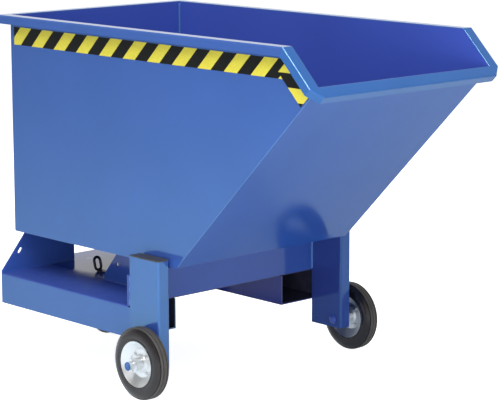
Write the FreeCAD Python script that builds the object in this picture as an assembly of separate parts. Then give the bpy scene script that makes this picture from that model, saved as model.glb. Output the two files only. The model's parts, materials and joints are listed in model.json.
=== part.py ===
import FreeCAD, Part
import math
import os

from FreeCAD import Vector

# Tipping skip trolley, millimetres. +X points to the spout, +Y to the left, +Z up.
# While it is modelled, X = 0 is the front axle, Y = 0 the middle and Z = 0 the ground.
# At export everything moves along X, so that the origin is the bottom centre of the whole trolley.

# Skip
skip_width = 648.0
skip_floor_length = 724.0
skip_floor_ahead = 54.0
skip_depth = 637.0
skip_above_deck = 121.0
front_slope = 45.0
spout_drop = 96.0
sheet = 3.0
sheet_inner_bend = 2.0
rim_flange = 31.0
rim_lip = 25.0
rim_bend = 4.0
rim_inner_round = 2.4
rim_rear_cut = 15.0
rim_spout_cut = 30.0

# Wheels
wheel_diameter = 200.0
tyre_width = 46.0
tyre_depth = 36.5
tyre_bead_width = 5.5
tyre_bead_height = 1.5
tyre_side_bulge = 3.2
tyre_shoulder_height = 4.5
tyre_shoulder_inset = 8.5
tyre_notch_width = 1.5
tyre_notch_depth = 1.5
tread_width = 20.0
tread_groove_offset = 6.0
tread_groove_width = 3.0
tread_groove_depth = 2.0
disc_lip_width = 6.0
disc_sheet = 2.5
disc_collar_rise = 5.0
disc_collar_top = 3.0
disc_collar_width = 8.0
disc_lip_rise = 4.5
hub_overhang = 6.0
hub_wall = 2.5
bearing_wall = 3.5
bearing_inset = 4.0
rivet_clearance = 1.5
rivet_count = 4
rivet_shank = 6.0
rivet_head = 10.0
rivet_head_height = 4.0
rivet_head_round = 2.0

# Front axles
axle_diameter = 24.0
axle_head_diameter = 27.0
axle_head_collar = 2.0
axle_dome_height = 7.0
washer_thickness = 3.0
washer_overhang = 8.0
wheel_spacer = 4.5
wheel_side_play = 0.5
split_pin = 4.0
split_pin_length = 36.0
axle_tail = 16.0

# Frame
leg_depth = 120.0
leg_width = 40.0
leg_wall = 4.0
leg_inner_corner = 2.0
leg_gap = 6.0
leg_ahead = 32.0
leg_below_axle = 23.0
leg_above_skip_floor = 19.0
cap_plate = 4.0
cap_edge_round = 1.5
cap_plug_depth = 18.0
cap_plug_wall = 2.5
pocket_width = 165.0
pocket_height = 90.0
frame_behind_skip = 10.0
pocket_wall = 4.0
deck_sheet = 4.0
deck_setback = 7.0
tongue_length = 72.0
cross_bar_thickness = 12.0
cross_bar_height = 86.0
bulkhead_sheet = 5.0
bulkhead_heel = 5.0
bulkhead_angle = 50.0
window_width = 202.0
window_height = 59.0
slot_length = 20.0
slot_width = 10.0
slot_rise = 58.0
slot_edge_distance = 16.5
web_sheet = 4.0
web_length = 300.0
web_heel = 14.0
web_hole = 12.0
web_hole_rise = 54.0
web_hole_edge_distance = 21.0
pad_thickness = 6.7
pad_grip = 10.0
pad_wall = 4.0
pad_end = 12.0
rest_gap = 0.3

# Tipping pivot
pivot_behind_axle = 60.0
pivot_clearance = 2.0
pivot_bolt_diameter = 16.0
pivot_bush_wall = 2.0
pivot_lug_thickness = 12.0
pivot_lug_inset = 16.0
pivot_lug_edge = 5.0
pivot_lug_root = 70.0
pivot_boss_wall = 6.0
pivot_gap = 1.0
pivot_head_height = 10.0
pivot_thread_tail = 6.0

# Rear swivel caster
caster_trail = 47.0
caster_plate_length = 104.0
caster_plate_width = 140.0
caster_plate_thickness = 6.0
caster_hole_edge = 15.0
caster_screw = 10.0
caster_screw_head = 18.0
caster_screw_clearance = 0.25
caster_nut_across = 16.0
caster_nut_height = 8.0
caster_race_diameter = 76.0
caster_race_height = 17.0
caster_race_gap = 0.5
caster_crown_thickness = 6.0
caster_crown_clearance = 5.0
caster_kingpin = 12.0
caster_kingpin_head = 22.0
caster_kingpin_head_height = 4.0
caster_fork_sheet = 5.0
caster_fork_gap = 1.5
caster_fork_eye = 24.0
caster_axle = 12.0
caster_axle_across = 19.0
caster_axle_head = 8.0

# Lock of the skip
lock_from_web = 55.0
lock_rod = 12.0
lock_rise = 14.0
lock_travel = 32.0
lock_collar = 20.0
lock_collar_length = 5.0
lock_guide_length = 12.0
lock_guide_width = 30.0
lock_guide_height = 28.0
lock_inside_web = 18.0
lock_crank = 6.0
lock_bar_thickness = 5.0
lock_bar_width = 16.0
lock_bar_gap = 0.5
lock_bar_length = 75.0
lock_tip_clearance = 2.0
lock_tip_free = 12.0
striker_thickness = 8.0
striker_width = 44.0
striker_play = 1.5
striker_deck_gap = 2.0
loop_rod = 8.0
loop_width = 30.0
loop_straight = 16.0
loop_lean = 15.0

# Clearance of turned pieces on one another, at the radius
fit = 0.05

# Sizes that follow from others
sheet_bend = sheet_inner_bend + sheet
leg_corner = leg_inner_corner + leg_wall
deck_edge_round = 0.75 * deck_sheet
hub_length = tyre_width + 2 * hub_overhang
disc_edge_radius = wheel_diameter / 2 - tyre_depth
disc_seat_radius = disc_edge_radius - disc_lip_width
disc_web_offset = disc_sheet
disc_edge_offset = tyre_width / 2 - tyre_bead_height
disc_seat_offset = disc_edge_offset - disc_lip_rise
pivot_head_across = 1.5 * pivot_bolt_diameter
pivot_boss_radius = pivot_bolt_diameter / 2 + fit + pivot_boss_wall
pivot_drop = max(pivot_boss_radius, pivot_head_across / math.sqrt(3)) + pivot_clearance
caster_head = caster_crown_clearance + caster_crown_thickness + caster_race_height + caster_plate_thickness

# Heights
axle_height = wheel_diameter / 2
deck_underside = wheel_diameter + caster_head
deck_top = deck_underside + deck_sheet
skip_floor = deck_top + skip_above_deck
rim_top = skip_floor + skip_depth
leg_foot = axle_height - leg_below_axle
leg_top = skip_floor + leg_above_skip_floor
pocket_floor = deck_top - pocket_height
pivot_height = skip_floor - pivot_drop
rest_top = skip_floor - rest_gap
support_top = rest_top - pad_thickness

# Places along X
skip_front = skip_floor_ahead
skip_back = skip_front - skip_floor_length
leg_front = leg_ahead
leg_back = leg_front - leg_depth
frame_back = skip_back - frame_behind_skip
tongue_back = frame_back - tongue_length
cross_bar_back = leg_back - cross_bar_thickness
web_back = cross_bar_back - web_length
pivot_x = -pivot_behind_axle
swivel_x = tongue_back + caster_plate_length / 2
caster_x = swivel_x + caster_trail

# Places across Y
skip_half = skip_width / 2
skip_inner_half = skip_half - sheet
leg_inner = skip_half + leg_gap
leg_outer = leg_inner + leg_width
pocket_inner = leg_outer - pocket_width
wheel_y = leg_outer + wheel_spacer + wheel_side_play + hub_length / 2
lug_outer = skip_half - pivot_lug_inset
lug_inner = lug_outer - pivot_lug_thickness
lock_y = lock_from_web - pocket_inner

# Spout: the lip is where the outer face of the sloped front meets the rim
slope = math.radians(front_slope)
up_front = Vector(math.cos(slope), 0, math.sin(slope))
lip_z = rim_top - spout_drop
lip_x = skip_front + (lip_z - skip_floor) / math.tan(slope)
spout_bend_x = lip_x - spout_drop * math.tan(slope)

# Wheel radii that follow from the axle
bearing_bore = axle_diameter / 2 + fit
bearing_outer = bearing_bore + bearing_wall
hub_bore = bearing_outer + fit
hub_outer = hub_bore + hub_wall
disc_bore = hub_outer + fit
rivet_circle = disc_bore + disc_collar_width + rivet_clearance + rivet_head / 2
disc_web_radius = rivet_circle + rivet_head / 2 + rivet_clearance

# The reach of the trolley along X, which sets the origin
front_reach = lip_x + rim_flange * math.sin(slope) - rim_bend * (math.sin(slope) + math.cos(slope) - 1)
rear_reach = min(tongue_back, caster_x - wheel_diameter / 2)
origin_x = (rear_reach + front_reach) / 2

X_AXIS = Vector(1, 0, 0)
Y_AXIS = Vector(0, 1, 0)
Z_AXIS = Vector(0, 0, 1)


def block(x, y, z):
    return Part.makeBox(x[1] - x[0], y[1] - y[0], z[1] - z[0], Vector(x[0], y[0], z[0]))


def prism(points, direction):
    face = Part.Face(Part.makePolygon(points + points[:1]))
    return face.extrude(direction)


def prism_along_x(points, x):
    return prism([Vector(x[0], y, z) for y, z in points], Vector(x[1] - x[0], 0, 0))


def prism_along_y(points, y):
    return prism([Vector(x, y[0], z) for x, z in points], Vector(0, y[1] - y[0], 0))


def prism_along_z(points, z):
    return prism([Vector(x, y, z[0]) for x, y in points], Vector(0, 0, z[1] - z[0]))


def rod(diameter, start, end):
    along = end - start
    return Part.makeCylinder(diameter / 2, along.Length, start, along)


def ring(inner_diameter, outer_diameter, start, end):
    return rod(outer_diameter, start, end).cut(rod(inner_diameter, start, end))


def hexagon(across, start, end):
    along = end - start
    side = Vector(0, 0, 1) if abs(along.z) < abs(along.y) + abs(along.x) else Vector(1, 0, 0)
    corner = side * (across / 2 / math.cos(math.pi / 6))
    turns = [FreeCAD.Rotation(along, 60 * i + 30) for i in range(6)]
    return prism([start + turn.multVec(corner) for turn in turns], along)


def revolved(curves):
    """Revolves a closed chain of lines and arcs, given as (radius, offset) points, about the Y axis."""
    edges = []
    for curve in curves:
        points = [Vector(0, offset, radius) for radius, offset in curve]
        line = Part.LineSegment(*points) if len(points) == 2 else Part.Arc(*points)
        edges.append(line.toShape())
    return Part.Face(Part.Wire(edges)).revolve(Vector(0, 0, 0), Y_AXIS, 360)


def edges_along(shape, axis):
    straight = [edge for edge in shape.Edges if edge.Curve.TypeId == "Part::GeomLine"]
    return [edge for edge in straight if edge.tangentAt(edge.FirstParameter).cross(axis).Length < 1e-6]


def edges_along_y_at(shape, height):
    return [edge for edge in edges_along(shape, Y_AXIS) if abs(edge.CenterOfMass.z - height) < 1e-3]


def rounded(shape, radius, axis):
    return shape.makeFillet(radius, edges_along(shape, axis))


def rounded_in_front(shape, radius):
    upright = edges_along(shape, Z_AXIS)
    middle = shape.CenterOfMass.x
    return shape.makeFillet(radius, [edge for edge in upright if edge.CenterOfMass.x > middle])


def moved(shape, x, y, z):
    copy = shape.copy()
    copy.translate(Vector(x, y, z))
    return copy


def mirrored(shape):
    return shape.mirror(Vector(0, 0, 0), Y_AXIS)


def save(name, *solids):
    shape = solids[0] if len(solids) == 1 else Part.makeCompound(list(solids))
    moved(shape, -origin_x, 0, 0).exportStep("parts/" + name + ".step")


def save_sides(name, left):
    save(name + "_left", left)
    save(name + "_right", mirrored(left))


def save_pair(name, left):
    save(name, left, mirrored(left))


# Skip
def skip_sheet():
    """Back wall, floor and sloped front, folded from one sheet."""
    bend = math.tan(slope / 2)
    outer_top = Vector(lip_x, 0, lip_z) - up_front * sheet
    inner_top = outer_top + Vector(-math.sin(slope), 0, math.cos(slope)) * sheet
    points = [
        (skip_back, rim_top - sheet),
        (skip_back, skip_floor),
        (skip_front, skip_floor),
        (outer_top.x, outer_top.z),
        (inner_top.x, inner_top.z),
        (skip_front - sheet * bend, skip_floor + sheet),
        (skip_back + sheet, skip_floor + sheet),
        (skip_back + sheet, rim_top - sheet),
    ]
    solid = prism_along_y(points, (-skip_inner_half, skip_inner_half))
    outside = solid.makeFillet(sheet_bend, edges_along_y_at(solid, skip_floor))
    return outside.makeFillet(sheet_bend - sheet, edges_along_y_at(outside, skip_floor + sheet))


def skip_side():
    under_lip = Vector(lip_x, 0, lip_z) - up_front * sheet
    bend_x = lip_x - (sheet + (spout_drop - sheet) * math.sin(slope)) / math.cos(slope)
    points = [
        (skip_back, skip_floor),
        (skip_front, skip_floor),
        (under_lip.x, under_lip.z),
        (bend_x, rim_top - sheet),
        (skip_back, rim_top - sheet),
    ]
    solid = prism_along_y(points, (skip_inner_half, skip_half))
    return solid.makeFillet(sheet_bend, edges_along_y_at(solid, skip_floor))


def rim_frame(open_length, corner_cut):
    """A folded rim round three sides, top face at Z = 0, closed side at +X, open end at -open_length."""
    def outline(inset, back):
        cut = corner_cut - inset * (2 - math.sqrt(2))
        far = rim_flange - inset
        side = skip_half + rim_flange - inset
        return [(back, -side), (far - cut, -side), (far, cut - side),
                (far, side - cut), (far - cut, side), (back, side)]

    shell = prism_along_z(outline(0, -open_length), (-rim_lip, 0))
    top_edges = [edge for edge in shell.Edges if abs(edge.CenterOfMass.z) < 1e-3]
    folds = [edge for edge in top_edges if edge.CenterOfMass.x > 1e-3 - open_length]
    shell = shell.makeFillet(rim_bend, folds)
    hollow = prism_along_z(outline(sheet, -open_length - rim_lip), (-2 * rim_lip, -sheet))
    mouth = block((-open_length - rim_lip, -sheet), (-skip_inner_half, skip_inner_half), (-rim_lip, rim_lip))
    shell = shell.cut(hollow).cut(mouth)
    mouth_edges = [edge for edge in shell.Edges if is_mouth_edge(edge, open_length)]
    return shell.makeFillet(min(rim_inner_round, 0.8 * sheet), mouth_edges)


def is_mouth_edge(edge, open_length):
    middle = edge.CenterOfMass
    level = edge.BoundBox.ZMax - edge.BoundBox.ZMin < 1e-3 and abs(middle.z) < 1e-3
    inside = abs(middle.y) < skip_inner_half + 1e-3 and middle.x < 1e-3 - sheet
    return level and inside and middle.x > 1e-3 - open_length


def bend_half(toward_spout):
    """Everything on one side of the mitre between the level rim and the spout rim."""
    middle = math.radians(90 + front_slope) / 2
    normal = Vector(math.sin(middle), 0, -math.cos(middle))
    size = 4 * (skip_floor_length + skip_width)
    half = block((0, size), (-size, size), (-size, size))
    half.rotate(Vector(0, 0, 0), Y_AXIS, math.degrees(math.atan2(-normal.z, normal.x)))
    if not toward_spout:
        half.rotate(Vector(0, 0, 0), Vector(math.cos(middle), 0, math.sin(middle)), 180)
    return moved(half, spout_bend_x, 0, rim_top)


def rim_top_frame():
    frame = rim_frame(spout_bend_x - skip_back + 2 * rim_lip, rim_rear_cut)
    frame.rotate(Vector(0, 0, 0), Z_AXIS, 180)
    frame = moved(frame, skip_back, 0, rim_top)
    return frame.common(bend_half(False))


def rim_spout_frame():
    reach = spout_drop / math.cos(slope)
    frame = rim_frame(reach + 2 * rim_lip, rim_spout_cut)
    frame.rotate(Vector(0, 0, 0), Y_AXIS, 90 - front_slope)
    frame = moved(frame, lip_x, 0, lip_z)
    return frame.common(bend_half(True))


def pivot_lug():
    bush_diameter = pivot_bolt_diameter + 2 * fit + 2 * pivot_bush_wall
    eye = bush_diameter / 2 + pivot_lug_edge
    points = [
        (pivot_x - pivot_lug_root / 2, skip_floor),
        (pivot_x + pivot_lug_root / 2, skip_floor),
        (pivot_x + eye, pivot_height),
        (pivot_x - eye, pivot_height),
    ]
    start = pivot_point(lug_inner)
    end = pivot_point(lug_outer)
    plate = prism_along_y(points, (lug_inner, lug_outer)).fuse(rod(2 * eye, start, end))
    above = block((pivot_x - eye, pivot_x + eye), (lug_inner, lug_outer), (skip_floor, skip_floor + 2 * eye))
    return plate.removeSplitter().cut(above).cut(rod(bush_diameter + 2 * fit, start, end))


def pivot_bush():
    bore = pivot_bolt_diameter + 2 * fit
    return ring(bore, bore + 2 * pivot_bush_wall, pivot_point(lug_inner), pivot_point(lug_outer))


def striker_plate():
    """A plate under the skip's floor, with a square hole for the lock bolt."""
    half_hole = lock_rod / 2 + striker_play
    middle = deck_top + lock_rise
    depth = (striker_back, striker_back + striker_thickness)
    side = (lock_y - striker_width / 2, lock_y + striker_width / 2)
    plate = block(depth, side, (deck_top + striker_deck_gap, skip_floor))
    hole_side = (lock_y - half_hole, lock_y + half_hole)
    return plate.cut(block(depth, hole_side, (middle - half_hole, middle + half_hole)))


# Frame
def pocket_channel():
    length = (frame_back, leg_back)
    outer = block(length, (pocket_inner, leg_outer), (pocket_floor, deck_underside))
    inner = block(length, (pocket_inner + pocket_wall, leg_outer - pocket_wall),
                  (pocket_floor + pocket_wall, deck_underside))
    return outer.cut(inner)


def deck_plate():
    front = leg_back - deck_setback
    points = [
        (front, -leg_outer),
        (front, leg_outer),
        (frame_back, leg_outer),
        (frame_back, window_width / 2),
        (tongue_back, window_width / 2),
        (tongue_back, -window_width / 2),
        (frame_back, -window_width / 2),
        (frame_back, -leg_outer),
    ]
    plate = prism_along_z(points, (deck_underside, deck_top))
    top_edges = [edge for edge in edges_along(plate, X_AXIS) if abs(edge.CenterOfMass.z - deck_top) < 1e-3]
    sides = [edge for edge in top_edges if abs(edge.CenterOfMass.y) > leg_outer - 1e-3]
    plate = plate.makeFillet(deck_edge_round, sides)
    for x, y in caster_holes():
        plate = plate.cut(screw_body(x, y, caster_screw_clearance))
    return plate


def bulkhead():
    angle = math.radians(bulkhead_angle)
    heel_top = deck_top + bulkhead_heel
    top_half = leg_outer - (support_top - heel_top) / math.tan(angle)
    half_window = window_width / 2
    points = [
        (leg_outer, deck_top),
        (leg_outer, heel_top),
        (top_half, support_top),
        (-top_half, support_top),
        (-leg_outer, heel_top),
        (-leg_outer, deck_top),
        (-half_window, deck_top),
        (-half_window, deck_top + window_height),
        (half_window, deck_top + window_height),
        (half_window, deck_top),
    ]
    depth = (frame_back, frame_back + bulkhead_sheet)
    plate = prism_along_x(points, depth)
    slot_z = deck_top + slot_rise
    slot_y = leg_outer - (slot_z - heel_top) / math.tan(angle) - slot_edge_distance / math.sin(angle)
    slot = chain_slot(slot_y, slot_z, depth)
    return plate.cut(slot).cut(mirrored(slot))


def chain_slot(y, z, depth):
    half = (slot_length - slot_width) / 2
    shape = block(depth, (-half, half), (-slot_width / 2, slot_width / 2))
    for end in (-half, half):
        shape = shape.fuse(rod(slot_width, Vector(depth[0], end, 0), Vector(depth[1], end, 0)))
    shape = shape.removeSplitter()
    shape.rotate(Vector(0, 0, 0), X_AXIS, 180 - bulkhead_angle)
    return moved(shape, 0, y, z)


def web():
    angle = math.radians(bulkhead_angle)
    heel_top = deck_top + web_heel
    top_back = web_back + (support_top - heel_top) / math.tan(angle)
    points = [
        (web_back, deck_top),
        (cross_bar_back, deck_top),
        (cross_bar_back, support_top),
        (top_back, support_top),
        (web_back, heel_top),
    ]
    plate = prism_along_y(points, (pocket_inner, pocket_inner + web_sheet))
    hole_z = deck_top + web_hole_rise
    hole_x = web_back + (hole_z - heel_top) / math.tan(angle) + web_hole_edge_distance / math.sin(angle)
    start = Vector(hole_x, pocket_inner, hole_z)
    return plate.cut(rod(web_hole, start, start + Y_AXIS * web_sheet))


def web_pad():
    angle = math.radians(bulkhead_angle)
    back = web_back + (support_top - deck_top - web_heel) / math.tan(angle) + pad_end
    length = (back, cross_bar_back - pad_end)
    side = (pocket_inner - pad_wall, pocket_inner + web_sheet + pad_wall)
    strip = block(length, side, (support_top - pad_grip, rest_top))
    slit = (pocket_inner, pocket_inner + web_sheet)
    return strip.cut(block(length, slit, (support_top - pad_grip, support_top)))


def bulkhead_pad():
    angle = math.radians(bulkhead_angle)
    top_half = leg_outer - (support_top - deck_top - bulkhead_heel) / math.tan(angle)
    side = (window_width / 2 + pad_end, top_half - pad_end)
    front = frame_back + bulkhead_sheet
    strip = block((frame_back - pad_wall, front + pad_wall), side, (support_top - pad_grip, rest_top))
    groove = block((frame_back, front), side, (support_top - pad_grip, support_top))
    return strip.cut(groove)


def cross_bar():
    height = (deck_top, deck_top + cross_bar_height)
    return block((cross_bar_back, leg_back), (-leg_outer, leg_outer), height)


def leg():
    """A box section, square at the back, where the pocket's side is welded on flush."""
    height = (leg_foot, leg_top)
    outer = block((leg_back, leg_front), (leg_inner, leg_outer), height)
    wall = leg_wall
    inner = block((leg_back + wall, leg_front - wall), (leg_inner + wall, leg_outer - wall), height)
    tube = rounded_in_front(outer, leg_corner).cut(rounded(inner, leg_inner_corner, Z_AXIS))
    axle_hole = rod(axle_diameter + 2 * fit, axle_point(leg_inner), axle_point(leg_outer))
    bolt_hole = rod(pivot_bolt_diameter + 2 * fit, pivot_point(leg_inner), pivot_point(leg_inner + leg_wall))
    return tube.cut(axle_hole).cut(bolt_hole)


def leg_cap():
    plate = block((leg_back, leg_front), (leg_inner, leg_outer), (leg_top, leg_top + cap_plate))
    plate = rounded_in_front(plate, leg_corner)
    rim = [edge for edge in plate.Edges if abs(edge.CenterOfMass.z - leg_top - cap_plate) < 1e-3]
    plate = plate.makeFillet(cap_edge_round, rim)
    gap = leg_wall + fit
    wall = gap + cap_plug_wall
    depth = (leg_top - cap_plug_depth, leg_top)
    plug = block((leg_back + gap, leg_front - gap), (leg_inner + gap, leg_outer - gap), depth)
    hollow = block((leg_back + wall, leg_front - wall), (leg_inner + wall, leg_outer - wall), depth)
    return plate.fuse(rounded(plug, leg_inner_corner, Z_AXIS).cut(hollow)).removeSplitter()


def pivot_point(y):
    return Vector(pivot_x, y, pivot_height)


def pivot_boss():
    bore = pivot_bolt_diameter + 2 * fit
    return ring(bore, 2 * pivot_boss_radius, pivot_point(lug_outer + pivot_gap), pivot_point(leg_inner))


def pivot_bolt():
    head_face = lug_inner - pivot_gap
    tail = leg_inner + leg_wall + pivot_thread_tail
    shank = rod(pivot_bolt_diameter, pivot_point(head_face), pivot_point(tail))
    head = hexagon(pivot_head_across, pivot_point(head_face - pivot_head_height), pivot_point(head_face))
    return shank.fuse(head).removeSplitter()


# Front axles
def axle_point(y):
    return Vector(0, y, axle_height)


def axle_bolt():
    """An axle with a domed head on the leg's inner face."""
    shank = rod(axle_diameter, axle_point(leg_inner), axle_point(axle_end))
    collar_end = leg_inner - axle_head_collar
    collar = rod(axle_head_diameter, axle_point(collar_end), axle_point(leg_inner))
    head_radius = axle_head_diameter / 2
    dome_radius = (head_radius ** 2 + axle_dome_height ** 2) / (2 * axle_dome_height)
    apex = collar_end - axle_dome_height
    ball = Part.makeSphere(dome_radius, axle_point(apex + dome_radius))
    height = (axle_height - head_radius, axle_height + head_radius)
    dome = ball.common(block((-head_radius, head_radius), (apex, collar_end), height))
    hole = rod(split_pin + 2 * fit, axle_point(split_pin_y) - Z_AXIS * axle_diameter,
               axle_point(split_pin_y) + Z_AXIS * axle_diameter)
    return shank.fuse([collar, dome]).removeSplitter().cut(hole)


def axle_washer(start, thickness):
    bore = axle_diameter + 2 * fit
    return ring(bore, bore + 2 * washer_overhang, axle_point(start), axle_point(start + thickness))


def split_pin_shape():
    """A split pin through the axle, with its round eye on top."""
    middle = axle_point(split_pin_y)
    shank = rod(split_pin, middle - Z_AXIS * split_pin_length / 2, middle + Z_AXIS * split_pin_length / 2)
    eye_middle = middle + Z_AXIS * (split_pin_length / 2 + split_pin)
    eye = Part.makeTorus(split_pin, split_pin / 2, eye_middle, Y_AXIS)
    return shank.fuse(eye).removeSplitter()


# Wheel, axis along Y through the origin, outboard face at +Y
def wheel_tyre():
    """Solid tyre with a bead at the disc's edge, bulged sides, a notch at each shoulder and tread grooves."""
    radius = wheel_diameter / 2
    half = tyre_width / 2
    tread_half = tread_width / 2
    seat = (disc_seat_radius, disc_seat_offset - disc_sheet)
    edge = (disc_edge_radius, disc_edge_offset - disc_sheet)
    bead_start = (disc_edge_radius, disc_edge_offset)
    bead_crest = (disc_edge_radius + tyre_bead_width / 2, half)
    bead_end = (disc_edge_radius + tyre_bead_width, disc_edge_offset)
    shoulder = (radius - tyre_shoulder_height, half - tyre_shoulder_inset)
    bulge = ((bead_end[0] + shoulder[0]) / 2, (bead_end[1] + shoulder[1]) / 2 + tyre_side_bulge)
    notch = (shoulder[0], shoulder[1] - tyre_notch_depth)
    crown_start = (shoulder[0] + tyre_notch_width, notch[1])
    crown_end = (radius, tread_half)
    crown_rise = radius - crown_start[0]
    crown_run = crown_start[1] - tread_half
    crown_radius = (crown_rise ** 2 + crown_run ** 2) / (2 * crown_rise)
    half_turn = math.atan2(crown_run, crown_radius - crown_rise) / 2
    crown_drop = crown_radius * (1 - math.cos(half_turn))
    crown = (radius - crown_drop, tread_half + crown_radius * math.sin(half_turn))
    groove_outer = tread_groove_offset + tread_groove_width / 2
    groove_inner = tread_groove_offset - tread_groove_width / 2
    groove_bottom = radius - tread_groove_depth
    half_tyre = revolved([
        [(disc_seat_radius, 0), seat],
        [seat, edge],
        [edge, bead_start],
        [bead_start, bead_crest, bead_end],
        [bead_end, bulge, shoulder],
        [shoulder, notch],
        [notch, crown_start],
        [crown_start, crown, crown_end],
        [crown_end, (radius, groove_outer)],
        [(radius, groove_outer), (groove_bottom, groove_outer)],
        [(groove_bottom, groove_outer), (groove_bottom, groove_inner)],
        [(groove_bottom, groove_inner), (radius, groove_inner)],
        [(radius, groove_inner), (radius, 0)],
        [(radius, 0), (disc_seat_radius, 0)],
    ])
    return half_tyre.fuse(mirrored(half_tyre)).removeSplitter()


def wheel_disc():
    """One pressed half of the wheel, which meets the other half in the middle plane."""
    collar = disc_web_offset + disc_collar_rise
    outer = [
        (disc_bore, collar),
        (disc_bore + disc_collar_top, collar),
        (disc_bore + disc_collar_width, disc_web_offset),
        (disc_web_radius, disc_web_offset),
        (disc_seat_radius, disc_seat_offset),
        (disc_edge_radius, disc_edge_offset),
    ]
    inner = [(radius, offset - disc_sheet) for radius, offset in reversed(outer)]
    profile = outer + inner
    disc = revolved([[profile[i - 1], profile[i]] for i in range(len(profile))])
    for x, z in rivet_points():
        disc = disc.cut(rod(rivet_shank + 2 * fit, Vector(x, 0, z), Vector(x, disc_edge_offset, z)))
    return disc


def wheel_hub():
    half = hub_length / 2
    return ring(2 * hub_bore, 2 * hub_outer, Vector(0, -half, 0), Vector(0, half, 0))


def wheel_bearing(bore):
    half = hub_length / 2 - bearing_inset
    return ring(2 * bore, 2 * bearing_outer, Vector(0, -half, 0), Vector(0, half, 0))


def rivet_points():
    step = 2 * math.pi / rivet_count
    turns = [step * (i + 0.5) for i in range(rivet_count)]
    return [(rivet_circle * math.cos(turn), rivet_circle * math.sin(turn)) for turn in turns]


def wheel_rivets():
    rivets = []
    for x, z in rivet_points():
        face = disc_web_offset
        solid = rod(rivet_shank, Vector(x, -face, z), Vector(x, face, z))
        for side in (-1, 1):
            head_top = side * (face + rivet_head_height)
            head = rod(rivet_head, Vector(x, side * face, z), Vector(x, head_top, z))
            rim = [edge for edge in head.Edges if edge.Closed and abs(edge.CenterOfMass.y - head_top) < 1e-3]
            solid = solid.fuse(head.makeFillet(min(rivet_head_round, 0.9 * rivet_head_height), rim))
        rivets.append(solid.removeSplitter())
    return rivets


def save_wheel(prefix, x, y, side, bearing_hole):
    """Writes one wheel's pieces. The side is +1 where the outboard face looks to +Y."""
    def place(shape):
        return moved(shape if side > 0 else mirrored(shape), x, y, axle_height)

    save(prefix + "_tyre", place(wheel_tyre()))
    save(prefix + "_outer_disc", place(wheel_disc()))
    save(prefix + "_inner_disc", place(mirrored(wheel_disc())))
    save(prefix + "_hub", place(wheel_hub()))
    save(prefix + "_bearing", place(wheel_bearing(bearing_hole)))
    save(prefix + "_rivets", *[place(rivet) for rivet in wheel_rivets()])


# Rear swivel caster
def caster_holes():
    half_length = caster_plate_length / 2 - caster_hole_edge
    half_width = caster_plate_width / 2 - caster_hole_edge
    return [(swivel_x + i * half_length, j * half_width) for i in (-1, 1) for j in (-1, 1)]


def screw_body(x, y, clearance):
    """A countersunk screw from the deck's top down through the caster plate and its nut."""
    tip = deck_underside - caster_plate_thickness - caster_nut_height
    radius = caster_screw / 2 + clearance
    head = caster_screw_head / 2 + clearance
    cone = Part.makeCone(radius, head, deck_sheet, Vector(x, y, deck_underside), Z_AXIS)
    return rod(2 * radius, Vector(x, y, tip), Vector(x, y, deck_top)).fuse(cone).removeSplitter()


def caster_nut(x, y):
    top = deck_underside - caster_plate_thickness
    start = Vector(x, y, top - caster_nut_height)
    end = Vector(x, y, top)
    return hexagon(caster_nut_across, start, end).cut(rod(caster_screw + 2 * fit, start, end))


def swivel_point(z):
    return Vector(swivel_x, 0, z)


def caster_top_plate():
    """Mounting plate with the upper race."""
    half_length = caster_plate_length / 2
    half_width = caster_plate_width / 2
    bottom = deck_underside - caster_plate_thickness
    length = (swivel_x - half_length, swivel_x + half_length)
    plate = block(length, (-half_width, half_width), (bottom, deck_underside))
    for x, y in caster_holes():
        hole = caster_screw + 2 * caster_screw_clearance
        plate = plate.cut(rod(hole, Vector(x, y, bottom), Vector(x, y, deck_underside)))
    race = rod(caster_race_diameter, swivel_point(race_split + caster_race_gap), swivel_point(bottom))
    bore = rod(caster_kingpin + 2 * fit, swivel_point(race_split), swivel_point(deck_underside))
    return plate.fuse(race).removeSplitter().cut(bore)


def caster_kingpin_shape():
    head_top = crown_bottom - caster_race_gap
    head_bottom = head_top - caster_kingpin_head_height
    shank = rod(caster_kingpin, swivel_point(head_top), swivel_point(deck_underside))
    head = rod(caster_kingpin_head, swivel_point(head_bottom), swivel_point(head_top))
    return shank.fuse(head).removeSplitter()


def caster_point(y):
    return Vector(caster_x, y, axle_height)


def caster_fork():
    """Crown with the lower race, and two cheeks down to the caster's axle."""
    inside = hub_length / 2 + caster_fork_gap
    outside = inside + caster_fork_sheet
    crown_radius = caster_race_diameter / 2
    crown_top = crown_bottom + caster_crown_thickness
    length = (swivel_x - crown_radius, swivel_x + crown_radius)
    crown = block(length, (-outside, outside), (crown_bottom, crown_top))
    race = rod(caster_race_diameter, swivel_point(crown_top), swivel_point(race_split))
    eye = caster_fork_eye / 2
    cheek_points = [
        (swivel_x - crown_radius, crown_bottom),
        (swivel_x + crown_radius, crown_bottom),
        (caster_x + eye, axle_height),
        (caster_x - eye, axle_height),
    ]
    fork = crown.fuse(race)
    for start, end in ((inside, outside), (-outside, -inside)):
        cheek = prism_along_y(cheek_points, (start, end))
        fork = fork.fuse(cheek).fuse(rod(2 * eye, caster_point(start), caster_point(end)))
    fork = fork.removeSplitter()
    axle_hole = rod(caster_axle + 2 * fit, caster_point(-outside), caster_point(outside))
    kingpin_hole = rod(caster_kingpin + 2 * fit, swivel_point(crown_bottom), swivel_point(race_split))
    return fork.cut(axle_hole).cut(kingpin_hole)


def caster_axle_pieces():
    """Bolt with its head on the left and its nut on the right."""
    face = hub_length / 2 + caster_fork_gap + caster_fork_sheet
    end = face + caster_axle_head
    shank = rod(caster_axle, caster_point(-end), caster_point(face))
    bolt = shank.fuse(hexagon(caster_axle_across, caster_point(face), caster_point(end)))
    nut = hexagon(caster_axle_across, caster_point(-end), caster_point(-face))
    nut = nut.cut(rod(caster_axle + 2 * fit, caster_point(-end), caster_point(-face)))
    return bolt.removeSplitter(), nut


def caster_sleeve_bore():
    return caster_axle / 2 + fit


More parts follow.
